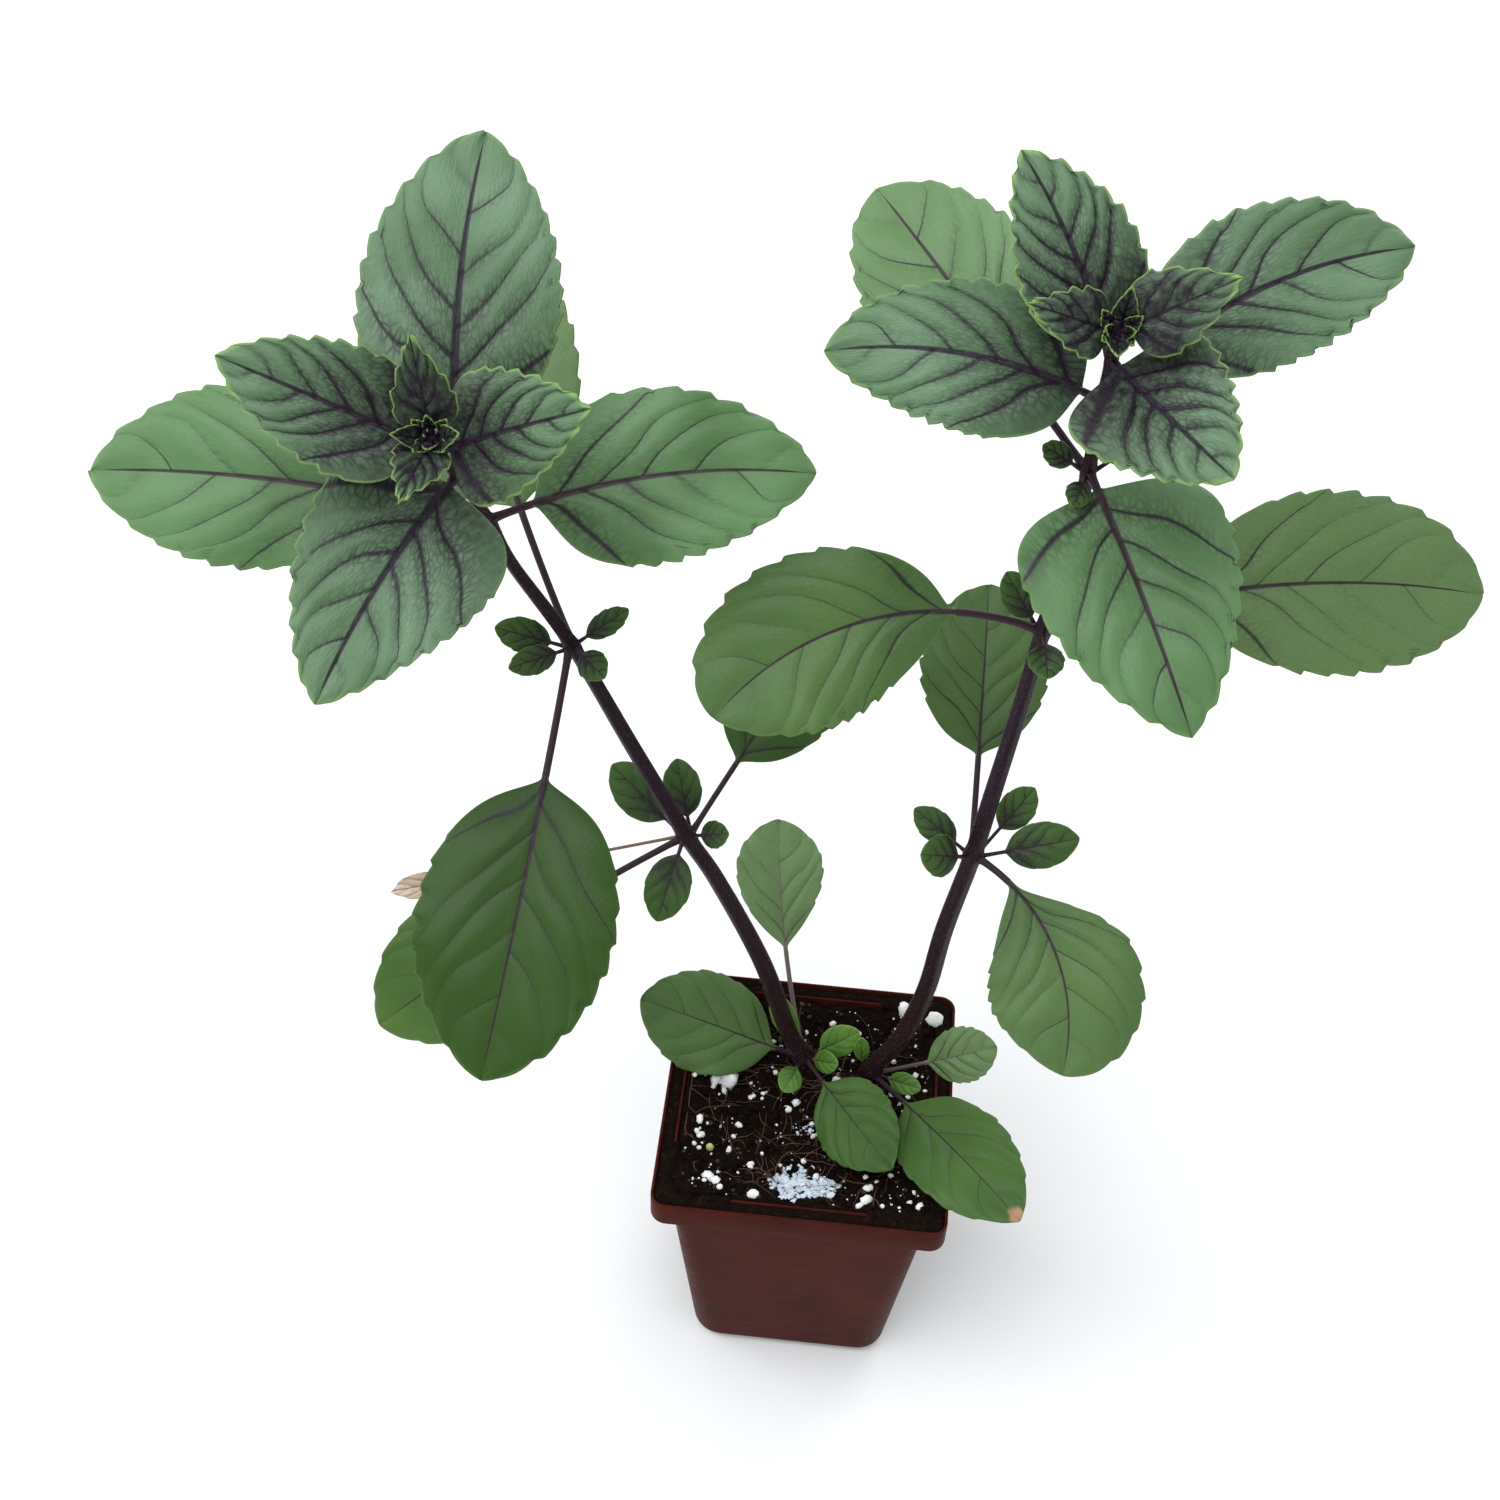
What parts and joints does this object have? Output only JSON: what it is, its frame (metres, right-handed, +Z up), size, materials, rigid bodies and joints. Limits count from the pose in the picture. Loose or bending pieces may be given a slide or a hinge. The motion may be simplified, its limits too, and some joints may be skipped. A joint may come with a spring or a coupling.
{
  "type": "potted basil plant",
  "caption": "Purple-stemmed basil in a small square nursery pot: two leaning stems with toothed leaves in opposite pairs, each ending in a leafy crown, rooted in dark potting mix.",
  "frame": {"origin": "middle of the pot's underside", "axes": "+Z up along the pot's middle line; the pot's sides run along X and Y; -Y is the front, the side that both crowns lean towards"},
  "size_m": [0.3362, 0.1859, 0.4201],
  "materials": {
    "pot_plastic": "satin moulded plastic, brick brown",
    "potting_mix": "dark damp peat mix with white perlite",
    "stem_skin": "purple-black, finely hairy",
    "mature_leaf": "satin mid green with purple veins",
    "crown_leaf": "satin, green flushed purple-black with a lime edge",
    "young_leaf": "satin bright green, purple at the base",
    "withered_leaf": "dry and matt, tan"
  },
  "bodies": {
    "root": {"pot": "pot_plastic", "soil": "potting_mix", "stem_left": "stem_skin", "stem_right": "stem_skin", "tip_bud_left": "crown_leaf", "tip_bud_right": "crown_leaf", "leaf_left_foot_west": "mature_leaf", "leaf_left_foot_front": "mature_leaf", "leaf_left_foot_back": "mature_leaf", "sprout_left_foot_back": "young_leaf", "sprout_left_foot_right": "young_leaf", "sprout_left_foot_front": "young_leaf", "sprout_left_foot_left": "young_leaf", "leaf_left_1_back": "mature_leaf", "leaf_left_1_west": "mature_leaf", "leaf_left_1_withered": "withered_leaf", "sprout_left_1_west": "young_leaf", "sprout_left_1_front": "young_leaf", "sprout_left_1_back": "young_leaf", "sprout_left_1_east": "young_leaf", "leaf_left_2_front": "mature_leaf", "leaf_left_2_back": "mature_leaf", "sprout_left_2_west": "young_leaf", "sprout_left_2_back": "young_leaf", "sprout_left_2_front": "young_leaf", "sprout_left_2_east": "young_leaf", "leaf_left_3_west": "mature_leaf", "leaf_left_3_east": "mature_leaf", "leaf_left_4_back": "crown_leaf", "leaf_left_4_front": "crown_leaf", "leaf_left_5_west": "crown_leaf", "leaf_left_5_east": "crown_leaf", "leaf_left_6_back": "crown_leaf", "leaf_left_6_front": "crown_leaf", "leaf_right_foot_east": "mature_leaf", "leaf_right_foot_front": "mature_leaf", "sprout_right_foot_back": "young_leaf", "sprout_right_foot_front": "young_leaf", "leaf_right_1_back": "mature_leaf", "leaf_right_1_front": "mature_leaf", "sprout_right_1_back": "young_leaf", "sprout_right_1_west": "young_leaf", "sprout_right_1_northeast": "young_leaf", "sprout_right_1_east": "young_leaf", "leaf_right_2_west": "mature_leaf", "leaf_right_2_east": "mature_leaf", "sprout_right_2_back": "young_leaf", "sprout_right_2_front": "young_leaf", "leaf_right_3_front": "mature_leaf", "leaf_right_3_back": "mature_leaf", "sprout_right_3_west": "young_leaf", "sprout_right_3_front": "young_leaf", "sprout_right_3_east": "young_leaf", "sprout_right_3_back": "young_leaf", "leaf_right_4_west": "mature_leaf", "leaf_right_4_east": "mature_leaf", "leaf_right_5_back": "crown_leaf", "leaf_right_5_front": "crown_leaf", "leaf_right_6_west": "crown_leaf", "leaf_right_6_east": "crown_leaf"}
  },
  "joints": []
}
